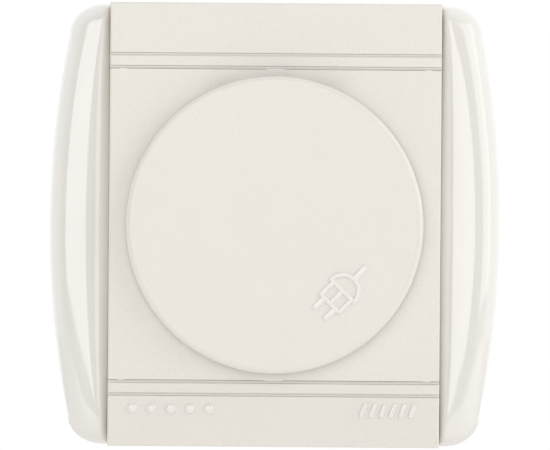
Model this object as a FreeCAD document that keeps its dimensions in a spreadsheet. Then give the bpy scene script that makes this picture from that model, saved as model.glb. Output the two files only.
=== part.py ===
"""Recessed wall socket outlet with a hinged round lid, built as its separate pieces.

Millimetres. +X is to the right, +Y into the wall and +Z up. The origin is on the socket's
axis in the plane of the wall, so the cover stands at negative Y and the mechanism, which
sinks into the wall box, at positive Y.
"""
import FreeCAD, Part
import os
import re
import Sketcher

Vector = FreeCAD.Vector

SIZES = (
    # the cover, seen from the front
    ("strip_width", 60.6, "flat middle strip, side to side"),
    ("strip_height", 81.1, "flat middle strip, top to bottom"),
    ("frame_width", 82.7, "over the two bowed sides"),
    ("frame_height", 81.0, "side covers, top to bottom"),
    ("side_bow", 178.0, "radius of the bowed sides"),
    ("side_corner", 6.0, "radius of the outline's corners"),
    ("plate_stand", 10.5, "strip's face in front of the wall"),
    ("edge_round", 0.4, "rounding of the strip's edges"),
    ("wall", 1.6, "moulded wall"),
    ("plate_wall", 2.5, "wall of the centre plate"),
    ("plate_margin", 1.23, "centre plate beyond the lid, at the top and bottom"),
    ("fit_gap", 0.07, "gap round a pressed-in cover"),
    ("groove_width", 0.65, "decorative groove"),
    ("groove_depth", 0.4, "decorative groove"),
    ("groove_pitch", 2.35, "from the parting groove to the outer one"),
    ("ridge_width", 0.18, "ridge inside a groove"),
    ("ridge_height", 0.22, "ridge inside a groove"),
    # the side covers
    ("crest_inset", 5.7, "crest of a side cover, in from the outline"),
    ("crest_stand", 9.3, "crest in front of the wall"),
    ("valley_stand", 6.8, "side cover beside the strip, in front of the wall"),
    ("end_round", 5.0, "rounding of a side cover's two ends"),
    ("base_stand", 4.6, "frame's ring under the side covers, in front of the wall"),
    ("ring_inset", 2.0, "ring's edge, in from the outline"),
    ("rim_lift", 0.4, "shadow gap between a side cover's edge and the wall"),
    # the marks on the lower band
    ("dot_radius", 0.95, "raised dot"),
    ("dot_height", 0.35, "raised dot"),
    ("dot_pitch", 3.5, "from dot to dot"),
    ("dot_first", -25.8, "first dot, from the axis"),
    ("mark_share", 0.25, "row of marks, from the groove to the edge, as a share of the band"),
    ("bar_width", 0.7, "slanting bar, across"),
    ("bar_length", 2.6, "slanting bar, along"),
    ("bar_raise", 0.25, "slanting bar in front of the strip"),
    ("bar_pitch", 1.8, "from bar to bar"),
    ("bar_first", 15.6, "first bar, from the axis"),
    ("bar_lift", 0.1, "bars' foot above where half their length puts it"),
    # the lid and its hinge
    ("lid_radius", 27.15, "round lid"),
    ("lid_stand", 4.1, "lid's face in front of the plate"),
    ("lid_gap", 0.3, "lid's skirt above the plate"),
    ("lid_wall", 1.6, "lid's face and skirt"),
    ("lid_edge", 1.0, "rounding of the lid's front edge"),
    ("hinge_inset", 2.55, "hinge axis, in from the lid's rim"),
    ("hinge_stand", 1.9, "hinge axis in front of the plate"),
    ("hinge_shell", 1.0, "lid's face over the hinge"),
    ("pocket_depth", 1.3, "pocket for the lid's top edge"),
    ("knuckle_radius", 1.0, "hinge knuckle"),
    ("lid_pin_radius", 0.5, "hinge pin"),
    ("pin_play", 0.03, "radial play of a pin in its hole"),
    ("knuckle_width", 2.2, "one knuckle"),
    ("knuckle_gap", 0.2, "between knuckles"),
    ("spring_half", 2.1, "half of the spring's width"),
    ("spring_wire", 0.3, "wire of the lid's spring"),
    ("mark_height", 0.25, "raised plug mark"),
    ("mark_line", 0.75, "line of the plug mark"),
    ("mark_x", 12.5, "plug mark, right of the axis"),
    ("mark_z", -11.9, "plug mark, above the axis"),
    ("mark_body", 3.3, "radius of the plug mark's round body"),
    ("mark_collar", 2.7, "half width of the plug mark's collar"),
    ("collar_length", 2.9, "length of the plug mark's collar"),
    ("mark_prong", 1.4, "plug mark's prongs, from its middle line"),
    ("prong_length", 2.7, "length of the plug mark's prongs"),
    ("mark_cable", 2.2, "length of the plug mark's cable"),
    ("hinge_half", 12.5, "half of the room for the hinge"),
    ("hinge_room", 1.2, "room for the hinge, below its axis"),
    ("leg_reach", 5.0, "spring's leg along the lid"),
    ("foot_reach", 4.2, "spring's foot on the plate"),
    ("pin_step", 0.13, "between the hinge pin and its spring"),
    # the well that a plug goes into
    ("well_radius", 19.5, "plug well"),
    ("well_depth", 17.5, "plug well below the plate's face"),
    ("well_wall", 1.2, "wall of the well"),
    ("floor_wall", 1.5, "floor of the well"),
    ("rib_half", 2.5, "half width of a guide rib"),
    ("rib_height", 2.2, "guide rib into the well"),
    ("rib_drop", 2.0, "guide rib's front behind the plate's face"),
    ("pin_half", 9.5, "half of the plug's pin spacing"),
    ("pin_hole", 2.6, "radius of a pin hole"),
    # the steel strap
    ("strap_half", 35.5, "half of the strap's side"),
    ("strap_corner", 15.0, "strap's cut corner"),
    ("strap_wall", 1.0, "strap's steel"),
    ("box_half", 30.0, "half of the box screws' spacing"),
    ("box_hole", 2.25, "radius of a box screw hole"),
    ("leg_half", 6.5, "half width of a strap leg"),
    ("leg_length", 16.0, "strap leg behind the strap"),
    ("rivet_radius", 1.2, "rivet"),
    ("rivet_head", 2.0, "radius of a rivet's head"),
    ("rivet_rise", 0.7, "height of a rivet's head"),
    ("rivet_depth", 2.4, "rivet in the housing"),
    ("rivet_edge", 2.0, "rivet's axis from the leg's end"),
    ("lug_edge", 1.6, "lug's steel round a hole"),
    # the insulating housing
    ("base_half", 15.6, "half width of the housing"),
    ("base_tall", 21.5, "half height of the housing"),
    ("base_back", 30.0, "back of the housing behind the wall's face"),
    ("cover_wall", 2.2, "insulating cover of the housing"),
    ("chamber_half", 4.5, "half width of a terminal chamber"),
    ("strip_metal", 0.8, "brass strip"),
    ("tab_metal", 1.2, "threaded brass tab"),
    ("bow_half", 3.0, "half width of the earth bow"),
    ("bow_gap", 0.25, "earth bow clear of the well"),
    ("leg_gap", 0.35, "strap leg clear of the earth bow"),
    ("tab_past", 2.6, "earth tab beyond its clamp plate"),
    ("tongue_depth", 7.1, "front of the earth bow behind the plate's face"),
    ("tongue_length", 8.0, "earth bow's bent tongue, front to back"),
    ("housing_wall", 2.0, "wall of the housing round its chambers"),
    ("boss_depth", 3.0, "boss behind the end of a strap leg"),
    ("wire_hole", 1.5, "radius of a wire entry"),
    ("terminal_low", 13.0, "terminals from the axis, up or down"),
    ("tab_front", 18.6, "front of the threaded tabs"),
    ("wire_room", 2.2, "open gap for a wire"),
    ("clamp_metal", 1.4, "clamp plate"),
    ("clamp_half", 3.2, "half of a clamp plate's side"),
    ("terminal_radius", 1.6, "terminal screw"),
    ("terminal_head", 2.6, "radius of a terminal screw's head"),
    ("terminal_rise", 2.2, "height of a terminal screw's head"),
    ("terminal_length", 9.0, "terminal screw under its head"),
    ("leaf_gap", 2.2, "half of the gap between a contact's leaves"),
    ("leaf_metal", 0.7, "leaf of a contact"),
    ("leaf_half", 3.0, "half width of a leaf"),
    ("clip_metal", 0.4, "steel of a contact's clip"),
    ("centre_radius", 1.5, "centre screw"),
    ("centre_head", 2.75, "radius of the centre screw's head"),
    ("centre_rise", 1.8, "height of the centre screw's head"),
    ("centre_length", 12.0, "centre screw under its head"),
    ("bush_radius", 3.0, "brass bush"),
    ("bush_length", 6.0, "brass bush"),
    # the claws
    ("claw_pivot_x", 17.9, "claw's pivot from the axis"),
    ("claw_pivot_y", 11.7, "claw's pivot behind the wall's face"),
    ("claw_screw_x", 23.9, "claw screw from the axis"),
    ("claw_radius", 1.75, "claw screw"),
    ("claw_metal", 1.0, "steel of a claw's cheek"),
    ("claw_reach", 15.5, "claw's teeth behind its pivot"),
    ("claw_inner", 3.4, "claw's cheeks, half of the gap between them"),
    ("claw_pin_radius", 0.9, "claw's pivot pin"),
    ("claw_nut_radius", 2.2, "barrel nut"),
    ("claw_tip", 4.4, "claw beyond its screw"),
    ("claw_edge", 1.3, "claw's cheek in front of its pivot"),
    ("web_half", 0.6, "half of the web between a claw's cheeks"),
    ("claw_head", 2.3, "radius of a claw screw's head"),
    ("claw_rise", 2.0, "height of a claw screw's head"),
    ("claw_length", 21.0, "claw screw under its head"),
    ("screw_slot", 0.9, "slot in a screw's head"),
    ("screw_tip", 0.5, "bevel of a screw's tip"),
    ("head_bevel", 0.3, "bevel of a screw's head"),
    ("screw_play", 0.05, "radial play of a screw in its thread"),
    ("hole_play", 0.2, "radial play of a screw in a plain hole"),
    ("pass_gap", 0.3, "gap between pieces that only pass each other"),
    ("lap", 0.1, "one shape of a piece sunk into the next, so that they join"),
)
NAMES = {name for name, _, _ in SIZES}

doc = FreeCAD.newDocument("SocketOutlet")
sheet = doc.addObject("Spreadsheet::Sheet", "Sizes")
for row, (name, size, meaning) in enumerate(SIZES, start=1):
    sheet.set(f"A{row}", name)
    sheet.set(f"B{row}", str(size))
    sheet.setAlias(f"B{row}", name)
    sheet.set(f"C{row}", meaning)
doc.recompute()

# places that follow from the sizes, as expressions of them
FACE = "(-plate_stand)"
PLATE_BACK = "(-plate_stand + plate_wall)"
FLOOR = "(-plate_stand + well_depth)"
FLOOR_BACK = f"({FLOOR} + floor_wall)"
PLATE_TOP = "(lid_radius + plate_margin)"
BAND_EDGE = f"({PLATE_TOP} + groove_width)"
BAND_FLAT = f"({BAND_EDGE} + groove_pitch)"
MARK_DROP = f"({BAND_FLAT} + mark_share * (strip_height / 2 - {BAND_FLAT}))"
BAR_FOOT = f"({MARK_DROP} + bar_length / 2 - bar_lift)"
LID_FACE = "(-plate_stand - lid_stand)"
LID_BACK = "(-plate_stand - lid_gap)"
HINGE_Y = "(-plate_stand - hinge_stand)"
HINGE_Z = "(lid_radius - hinge_inset)"
HINGE = (HINGE_Y, HINGE_Z)
KNUCKLE = "(spring_half + knuckle_gap + lap)"
OUTER_KNUCKLE = f"({KNUCKLE} + knuckle_width + knuckle_gap)"
BOW_FRONT = f"({FLOOR_BACK} + pass_gap)"
COVER_FRONT = f"({BOW_FRONT} + strip_metal + pass_gap - lap)"
BASE_FRONT = f"({COVER_FRONT} + cover_wall)"
WELL_OUTER = "(well_radius + well_wall)"
BOW_INNER = f"({WELL_OUTER} + bow_gap)"
BOW_OUTER = f"({BOW_INNER} + strip_metal)"
LEG_INNER = f"max({BOW_OUTER} + leg_gap; base_tall + 2 * pass_gap)"
CLAMP_BACK = "(tab_front - wire_room)"
CLAMP_FRONT = f"({CLAMP_BACK} - clamp_metal)"
TONGUE_FRONT = f"({FACE} + tongue_depth)"
LUG_INNER = "(claw_inner + claw_metal + 2 * pass_gap)"
RIVET_Y = "(leg_length - rivet_edge)"
CONTACT_BACK = "(base_back - housing_wall - 4 * pass_gap)"
CONTACT_HALF = "(leaf_gap + leaf_metal)"
TAB_HALF = "(clamp_half + pass_gap)"
EARTH_TOP = "(terminal_low + clamp_half + tab_past)"
SPRING_BORE = "(lid_pin_radius + pin_step)"

DOTS, BARS = 5, 6
BAR_LEAN = 20  # degrees
FOOT_TURN = 192  # degrees, from straight up to the spring's foot that lies down on the plate
SWEEP = 32  # degrees of the bowed side's circle that a side cover's section is carried round
PLANES = {"x": "YZ_Plane", "y": "XZ_Plane", "z": "XY_Plane"}
TURNS = {
    "x": FreeCAD.Rotation(Vector(0, 1, 0), 90),
    "y": FreeCAD.Rotation(Vector(1, 0, 0), -90),
    "z": FreeCAD.Rotation(),
}
nodes = []


def bound(expression):
    """The expression with the sheet's name put in front of each size."""
    def in_sheet(word):
        return f"Sizes.{word[0]}" if word[0] in NAMES else word[0]
    return re.sub(r"[a-z][a-z_0-9]*", in_sheet, str(expression))


def number(expression):
    """What the expression comes to with the sheet's present sizes."""
    return float(sheet.evalExpression(bound(expression)))


def node(shape, label):
    """Name a finished sub-part; its label names its file."""
    shape.Label = label
    nodes.append(shape)
    return shape


def box(name, x, y, z):
    """A block between the (low, high) pairs x, y and z."""
    block = doc.addObject("Part::Box", name)
    for side, axis, (low, high) in zip(("Length", "Width", "Height"), "xyz", (x, y, z)):
        block.setExpression(f"Placement.Base.{axis}", bound(low))
        block.setExpression(side, bound(f"({high}) - ({low})"))
    return block


def rod(name, axis, low, high, radius, centre):
    """A round bar along an axis from low to high; centre gives its other two places in XYZ order."""
    bar = doc.addObject("Part::Cylinder", name)
    bar.Placement = FreeCAD.Placement(Vector(), TURNS[axis])
    others = [other for other in "xyz" if other != axis]
    for other, place in zip(others, centre):
        bar.setExpression(f"Placement.Base.{other}", bound(place))
    bar.setExpression(f"Placement.Base.{axis}", bound(low))
    bar.setExpression("Height", bound(f"({high}) - ({low})"))
    bar.setExpression("Radius", bound(radius))
    return bar


def fuse(name, *pieces):
    union = doc.addObject("Part::MultiFuse", name)
    union.Shapes = list(pieces)
    return union


def common(name, *pieces):
    shared = doc.addObject("Part::MultiCommon", name)
    shared.Shapes = list(pieces)
    return shared


def cut(name, base, *tools):
    """The base less each tool."""
    tool = tools[0] if len(tools) == 1 else fuse(f"{name}_tools", *tools)
    rest = doc.addObject("Part::Cut", name)
    rest.Base = base
    rest.Tool = tool
    return rest


def rounded(name, base, radius, wanted):
    """The base with each edge that the test wants rounded to the radius."""
    doc.recompute()
    fillet = doc.addObject("Part::Fillet", name)
    fillet.Base = base
    size = number(radius)
    fillet.Edges = [
        (index, size, size)
        for index, edge in enumerate(base.Shape.Edges, start=1)
        if wanted(edge)
    ]
    return fillet


def runs_along(edge, axis):
    """Is this a straight edge along the axis?"""
    if not isinstance(edge.Curve, Part.Line):
        return False
    return abs(getattr(edge.Curve.Direction, axis)) > 0.999


def front_edge(edge):
    """Is this a straight edge of the strip's face, up its side or along its end?"""
    lies_in_face = abs(edge.CenterOfMass.y - number(FACE)) < 0.01
    return lies_in_face and (runs_along(edge, "x") or runs_along(edge, "z"))


def new_body(name):
    return doc.addObject("PartDesign::Body", name)


def sketch(body, name, axis, offset, loops):
    """A sketch across an axis. A loop is a list of corners or one circle, (u, v, radius)."""
    drawing = body.newObject("Sketcher::SketchObject", name)
    plane = next(f for f in body.Origin.OriginFeatures if f.Role == PLANES[axis])
    drawing.AttachmentSupport = (plane, [""])
    drawing.MapMode = "FlatFace"
    sign = "-" if axis == "y" else ""
    drawing.setExpression("AttachmentOffset.Base.z", bound(f"{sign}({offset})"))
    for loop in loops:
        first = drawing.GeometryCount
        if isinstance(loop, tuple):
            u, v, radius = loop
            centre = Vector(number(u), number(v), 0)
            drawing.addGeometry(Part.Circle(centre, Vector(0, 0, 1), number(radius)), False)
            held = [(Sketcher.Constraint("Radius", first, number(radius)), radius)]
            held += place_of(drawing, first, 3, u, v)
        else:
            corners = [Vector(number(u), number(v), 0) for u, v in loop]
            count = len(corners)
            for step in range(count):
                line = Part.LineSegment(corners[step], corners[(step + 1) % count])
                drawing.addGeometry(line, False)
            held = []
            for step, (u, v) in enumerate(loop):
                after = first + (step + 1) % count
                drawing.addConstraint(Sketcher.Constraint("Coincident", first + step, 2, after, 1))
                held += place_of(drawing, first + step, 1, u, v)
        for constraint, expression in held:
            index = drawing.addConstraint(constraint)
            if expression is not None:
                drawing.setExpression(f"Constraints[{index}]", bound(expression))
    return drawing


def place_of(drawing, geometry, point, u, v):
    """The two constraints that hold a point of the sketch at u, v, each with its expression."""
    held = []
    for kind, place in (("DistanceX", u), ("DistanceY", v)):
        held.append((Sketcher.Constraint(kind, -1, 1, geometry, point, number(place)), place))
    return held


def pad(body, name, axis, low, high, *loops):
    """Add the loops' area between low and high along the axis."""
    start = high if axis == "y" else low
    feature = body.newObject("PartDesign::Pad", name)
    feature.Profile = sketch(body, f"{name}_sketch", axis, start, loops)
    feature.setExpression("Length", bound(f"({high}) - ({low})"))
    body.Tip = feature
    return feature


def pocket(body, name, axis, low, high, *loops):
    """Cut the loops' area between low and high along the axis."""
    start = low if axis == "y" else high
    feature = body.newObject("PartDesign::Pocket", name)
    feature.Profile = sketch(body, f"{name}_sketch", axis, start, loops)
    feature.setExpression("Length", bound(f"({high}) - ({low})"))
    body.Tip = feature
    return feature


def rectangle(u_low, u_high, v_low, v_high):
    return [(u_low, v_low), (u_high, v_low), (u_high, v_high), (u_low, v_high)]


def bowed_block(name, inset, low, high):
    """The outline with bowed sides, drawn in by the inset, between two places along Y."""
    half = "frame_width / 2"
    bows = [
        rod(f"{name}_bow_{side}", "y", low, high, f"side_bow - ({inset})",
            (f"{sign} * (side_bow - {half})", "0"))
        for side, sign in (("left", 1), ("right", -1))
    ]
    top = f"frame_height / 2 - ({inset})"
    block = box(f"{name}_block", (f"-{half}", half), (low, high), (f"-({top})", top))
    plain = common(f"{name}_plain", block, *bows)
    return rounded(f"{name}_round", plain, f"side_corner - ({inset}) / 2",
                   lambda edge: runs_along(edge, "y"))


def screw(label, place, kind):
    """A slotted screw along Y, sized by its kind; its local origin is under the head, where it bears."""
    head_radius, head_height, shank_radius, length = (
        f"{kind}_{size}" for size in ("head", "rise", "radius", "length"))
    body = new_body(label)
    for axis, where in zip("xyz", place):
        body.setExpression(f"Placement.Base.{axis}", bound(where))
    turned = body.newObject("PartDesign::Revolution", f"{label}_turned")
    turned.Profile = sketch(body, f"{label}_profile", "z", "0", [[
        ("0", f"-{head_height}"),
        (f"{head_radius} - head_bevel", f"-{head_height}"),
        (head_radius, f"head_bevel - {head_height}"),
        (head_radius, "0"),
        (shank_radius, "0"),
        (shank_radius, f"{length} - screw_tip"),
        (f"{shank_radius} - screw_tip", length),
        ("0", length),
    ]])
    turned.ReferenceAxis = (turned.Profile[0], ["V_Axis"])
    turned.Angle = 360
    pocket(body, f"{label}_slot", "y", f"-{head_height}", f"-{head_height} / 2",
           rectangle(f"-{head_radius} - 1", f"{head_radius} + 1", "-screw_slot / 2", "screw_slot / 2"))
    return node(body, label)


def make_frame():
    """The frame: the strip's two bands, and the ring that the side covers sit on."""
    half, top = "strip_width / 2", "strip_height / 2"
    block = box("frame_strip_block", (f"-{half}", half), (FACE, "0"), (f"-{top}", top))
    strip = rounded("frame_strip", block, "edge_round", front_edge)
    ring = bowed_block("frame_ring", "ring_inset", "-base_stand", "0")
    solid = fuse("frame_solid", strip, ring)
    reach = "(strip_width / 2 + 1)"
    window = box("frame_window", (f"-{reach}", reach), (f"{FACE} - 1", "-base_stand - lap"),
                 (f"-{PLATE_TOP} - fit_gap", f"{PLATE_TOP} + fit_gap"))
    hollow = box("frame_hollow", (f"-({half} - wall)", f"{half} - wall"), (f"{FACE} + wall", "0"),
                 (f"-({top} - wall)", f"{top} - wall"))
    under_ring = bowed_block("frame_under_ring", "ring_inset + wall", "-base_stand + wall", "0")
    keep_walls = box("frame_keep", (f"-{half}", half), ("-base_stand", "-strap_wall - 2 * pass_gap"),
                     ("-frame_width", "frame_width"))
    cavity = cut("frame_cavity", under_ring, keep_walls)
    grooves = []
    for side, sign in (("top", 1), ("bottom", -1)):
        for depth, low, high in (
            ("parting", f"{PLATE_TOP} - lap", BAND_EDGE),
            ("outer", f"{PLATE_TOP} + groove_pitch", f"{BAND_EDGE} + groove_pitch"),
        ):
            edges = sorted((f"{sign} * ({low})", f"{sign} * ({high})"), key=number)
            name = f"frame_groove_{side}_{depth}"
            groove = box(name, (f"-{reach}", reach), (f"{FACE} - 1", f"{FACE} + groove_depth"), edges)
            middle = f"{sign} * ({high} - groove_width * 0.4)"
            ridge = box(f"{name}_ridge", (f"-{reach}", reach),
                        (f"{FACE} + groove_depth - ridge_height", f"{FACE} + groove_depth"),
                        (f"{middle} - ridge_width / 2", f"{middle} + ridge_width / 2"))
            grooves.append(cut(f"{name}_cut", groove, ridge))
    shell = cut("frame_shell", solid, window, hollow, cavity, *grooves)
    node(fuse("frame_marked", shell, *lower_band_marks()), "frame")


def lower_band_marks():
    """Five raised dots at the left of the lower band, and a plain row of slanting bars at the right."""
    marks = []
    ball = "((dot_radius ^ 2 + dot_height ^ 2) / (2 * dot_height))"
    for step in range(DOTS):
        dot = doc.addObject("Part::Sphere", f"dot_{step}")
        dot.Placement = FreeCAD.Placement(Vector(), FreeCAD.Rotation(Vector(1, 0, 0), 90))
        dot.setExpression("Radius", bound(ball))
        dot.setExpression("Angle1", bound(f"asin(1 - (dot_height + lap) / {ball})"))
        dot.setExpression("Placement.Base.x", bound(f"dot_first + {step} * dot_pitch"))
        dot.setExpression("Placement.Base.y", bound(f"{FACE} - dot_height + {ball}"))
        dot.setExpression("Placement.Base.z", bound(f"0 - {MARK_DROP}"))
        marks.append(dot)
    for step in range(BARS):
        bar = box(f"bar_{step}", ("0", "bar_width"), (f"{FACE} - bar_raise", f"{FACE} + lap"),
                  ("0", "bar_length"))
        bar.Placement = FreeCAD.Placement(Vector(), FreeCAD.Rotation(Vector(0, 1, 0), BAR_LEAN))
        bar.setExpression("Placement.Base.x", bound(f"bar_first + {step} * bar_pitch"))
        bar.setExpression("Placement.Base.y", bound(f"{FACE} - bar_raise"))
        bar.setExpression("Placement.Base.z", bound(f"0 - {BAR_FOOT}"))
        marks.append(bar)
    return marks


def make_side_cover(side, sign):
    """A glossy side cover: a hollow barrel that follows the bowed outline."""
    half = "(frame_width / 2)"
    axis_x = f"{-sign} * (side_bow - {half})"

    def barrel(name, shrink, inner):
        """The barrel section carried round the bow as a solid of revolution."""
        width = number(half) - number(shrink)
        crest = number(half) - number("crest_inset")
        radius = number("crest_inset") - number(shrink)
        front = -number("crest_stand") + number(shrink)
        rise = number("crest_stand") - number("valley_stand")
        run = crest - number("strip_width") / 2
        inner_radius = (run ** 2 + rise ** 2) / (2 * rise) - number(shrink)
        edge_x = number(inner)

        def at(x, y):
            return Vector(sign * x, y, 0)

        def slope(x):
            return front + inner_radius - (inner_radius ** 2 - (crest - x) ** 2) ** 0.5

        shoulder = front + radius
        diagonal = radius * 0.5 ** 0.5
        edges = [
            Part.Arc(at(width, shoulder), at(crest + diagonal, shoulder - diagonal),
                     at(crest, front)).toShape(),
            Part.Arc(at(crest, front), at((crest + edge_x) / 2, slope((crest + edge_x) / 2)),
                     at(edge_x, slope(edge_x))).toShape(),
            Part.LineSegment(at(edge_x, slope(edge_x)), at(edge_x, 0)).toShape(),
            Part.LineSegment(at(edge_x, 0), at(width, 0)).toShape(),
            Part.LineSegment(at(width, 0), at(width, shoulder)).toShape(),
        ]
        face = Part.Face(Part.Wire(edges))
        centre = Vector(number(axis_x), 0, 0)
        face.rotate(centre, Vector(0, 1, 0), SWEEP / 2)
        solid = doc.addObject("Part::Feature", name)
        solid.Shape = face.revolve(centre, Vector(0, 1, 0), -SWEEP)
        return solid

    def beside_strip(name, start, front, back, top, radius):
        """A block from the start sideways, with its front edges at the top and bottom rounded."""
        ends = sorted((f"{sign} * {start}", f"{sign} * frame_width"), key=number)
        block = box(name, ends, (front, back), (f"-({top})", top))
        return rounded(f"{name}_round", block, radius,
                       lambda e: runs_along(e, "x") and e.CenterOfMass.y < number(front) + 0.01)

    name = f"side_{side}"
    inner_edge = "(strip_width / 2 + fit_gap)"
    ahead = "-crest_stand - 1"
    skin = beside_strip(f"{name}_block", inner_edge, "-crest_stand", "-rim_lift",
                        "frame_height / 2", "end_round")
    outline = bowed_block(f"{name}_outline", "0", ahead, "-rim_lift")
    solid = common(f"{name}_solid", barrel(f"{name}_barrel", "0", "strip_width / 2 - lap"), skin, outline)
    room = beside_strip(f"{name}_room", f"({inner_edge} + wall)", "wall - crest_stand", "1",
                        "frame_height / 2 - wall", "end_round - wall")
    inner_outline = bowed_block(f"{name}_inner", "wall", ahead, "1")
    inner_barrel = barrel(f"{name}_inner_barrel", "wall", "strip_width / 2 + wall")
    hollow = common(f"{name}_hollow", inner_barrel, room, inner_outline)
    under = bowed_block(f"{name}_under", "wall", "-base_stand - lap", "0")
    node(cut(f"{name}_cover", solid, hollow, under), f"side_cover_{side}")


def make_centre_plate():
    """The centre plate with the plug well, the hinge's outer knuckles and the lid's pocket."""
    body = new_body("plate_body")
    half = "strip_width / 2"
    panel = rectangle(f"-{half}", half, f"-{PLATE_TOP}", PLATE_TOP)
    pad(body, "panel", "y", FACE, PLATE_BACK, panel)
    pad(body, "skirts", "y", PLATE_BACK, "-base_stand - pass_gap",
        rectangle(f"-{half}", f"-{half} + wall", f"-{PLATE_TOP}", PLATE_TOP),
        rectangle(f"{half} - wall", half, f"-{PLATE_TOP}", PLATE_TOP))
    pad(body, "well", "y", PLATE_BACK, FLOOR_BACK, ("0", "0", WELL_OUTER))
    pocket(body, "well_inside", "y", FACE, FLOOR, ("0", "0", "well_radius"))
    pocket(body, "floor_holes", "y", FLOOR, FLOOR_BACK,
           ("-pin_half", "0", "pin_hole"), ("pin_half", "0", "pin_hole"),
           ("0", "0", "centre_radius + hole_play"))
    slot_half = "(bow_half + pass_gap)"
    slot_front, slot_back = f"{TONGUE_FRONT} - 5 * pass_gap", f"{TONGUE_FRONT} + tongue_length + 2 * pass_gap"
    for side, sign in (("top", 1), ("bottom", -1)):
        ends = sorted((f"{sign} * (well_radius - 2)", f"{sign} * ({WELL_OUTER} + 1)"), key=number)
        pocket(body, f"earth_slot_{side}", "y", slot_front, slot_back,
               rectangle(f"-{slot_half}", slot_half, *ends))
    rib_in = "(well_radius - rib_height)"
    ribs = [
        box(f"rib_{side}", sorted((f"{sign} * {rib_in}", f"{sign} * (well_radius + lap)"), key=number),
            (f"{FACE} + rib_drop", FLOOR), ("-rib_half", "rib_half"))
        for side, sign in (("left", -1), ("right", 1))
    ]
    deep = (f"{FACE} - 1", f"{FACE} + pocket_depth")
    pocket_round = rod("pocket_round", "y", *deep, "lid_radius - lap", ("0", "0"))
    pocket_span = box("pocket_span", ("-hinge_half", "hinge_half"), deep,
                      (f"{HINGE_Z} - hinge_room", "lid_radius"))
    side_edge = number("strip_width / 2") - 0.01
    smooth = rounded("plate_smooth", body, "edge_round",
                     lambda e: front_edge(e) and runs_along(e, "z") and abs(e.CenterOfMass.x) > side_edge)
    carved = cut("plate_carved", smooth, common("lid_pocket", pocket_round, pocket_span))
    knuckles = []
    for side, sign in (("left", -1), ("right", 1)):
        span = (OUTER_KNUCKLE, f"{OUTER_KNUCKLE} + knuckle_width")
        span = sorted((f"{sign} * ({place})" for place in span), key=number)
        knuckles.append(rod(f"plate_knuckle_{side}", "x", *span, "knuckle_radius", HINGE))
        knuckles.append(box(f"plate_neck_{side}", span, (HINGE_Y, f"{FACE} + pocket_depth + lap"),
                            (f"{HINGE_Z} - knuckle_radius", f"{HINGE_Z} + 0.6 * knuckle_radius")))
    reach = f"({OUTER_KNUCKLE} + knuckle_width + 1)"
    hole = rod("plate_hinge_hole", "x", f"-{reach}", reach, "lid_pin_radius + pin_play", HINGE)
    node(cut("plate_done", fuse("plate_fused", carved, *ribs, *knuckles), hole), "centre_plate")


def plug_mark():
    """The raised outline of a plug, turned 45 degrees, with its cable to the upper right."""
    low, high = f"{LID_FACE} - mark_height", f"{LID_FACE} + 0.2"
    turn = FreeCAD.Rotation(Vector(0, 1, 0), -45)
    slant = 0.5 ** 0.5
    collar, back = "mark_collar", "(0 - collar_length)"

    def stroke(name, u_low, u_high, v_low, v_high):
        """A bar from (u, v) corner to corner, where u runs along the plug towards its cable."""
        bar = box(name, ("0", f"{u_high} - ({u_low})"), (low, high), ("0", f"{v_high} - ({v_low})"))
        bar.Placement = FreeCAD.Placement(Vector(), turn)
        bar.setExpression("Placement.Base.x", bound(f"mark_x + {slant} * (({u_low}) - ({v_low}))"))
        bar.setExpression("Placement.Base.y", bound(low))
        bar.setExpression("Placement.Base.z", bound(f"mark_z + {slant} * (({u_low}) + ({v_low}))"))
        return bar

    def half_disc(name, radius, low_y, high_y):
        """Half of a round disc, on the cable's side of the plug's widest line."""
        disc = doc.addObject("Part::Cylinder", name)
        disc.setExpression("Radius", bound(radius))
        disc.setExpression("Height", bound(f"({high_y}) - ({low_y})"))
        disc.Angle = 180
        half_turn = TURNS["y"].multiply(FreeCAD.Rotation(Vector(0, 0, 1), -135))
        disc.Placement = FreeCAD.Placement(Vector(), half_turn)
        disc.setExpression("Placement.Base.x", bound("mark_x"))
        disc.setExpression("Placement.Base.y", bound(low_y))
        disc.setExpression("Placement.Base.z", bound("mark_z"))
        return disc

    dome = cut("mark_dome", half_disc("mark_dome_out", "mark_body", low, high),
               half_disc("mark_dome_in", "mark_body - mark_line", f"({low}) - 1", f"({high}) + 1"))
    marks = [
        dome,
        stroke("mark_wide", "0 - mark_line / 2", "mark_line / 2", "-mark_body", "mark_body"),
        stroke("mark_collar_front", f"{back} - mark_line", back, f"-{collar}", collar),
        stroke("mark_cable", "mark_body - pass_gap", "mark_body + mark_cable - pass_gap",
               "-0.7 * mark_line", "0.7 * mark_line"),
    ]
    for name, low_v, high_v in (("low", f"-{collar}", f"mark_line - {collar}"),
                                ("mid", "-mark_line / 2", "mark_line / 2"),
                                ("high", f"{collar} - mark_line", collar)):
        marks.append(stroke(f"mark_collar_{name}", f"{back} - lap", "0", low_v, high_v))
    for name, sign in (("low", -1), ("high", 1)):
        side = f"{sign} * mark_prong"
        marks.append(stroke(f"mark_prong_{name}", f"{back} - pass_gap - prong_length", f"{back} - pass_gap",
                            f"{side} - 0.7 * mark_line", f"{side} + 0.7 * mark_line"))
    return marks


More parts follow.
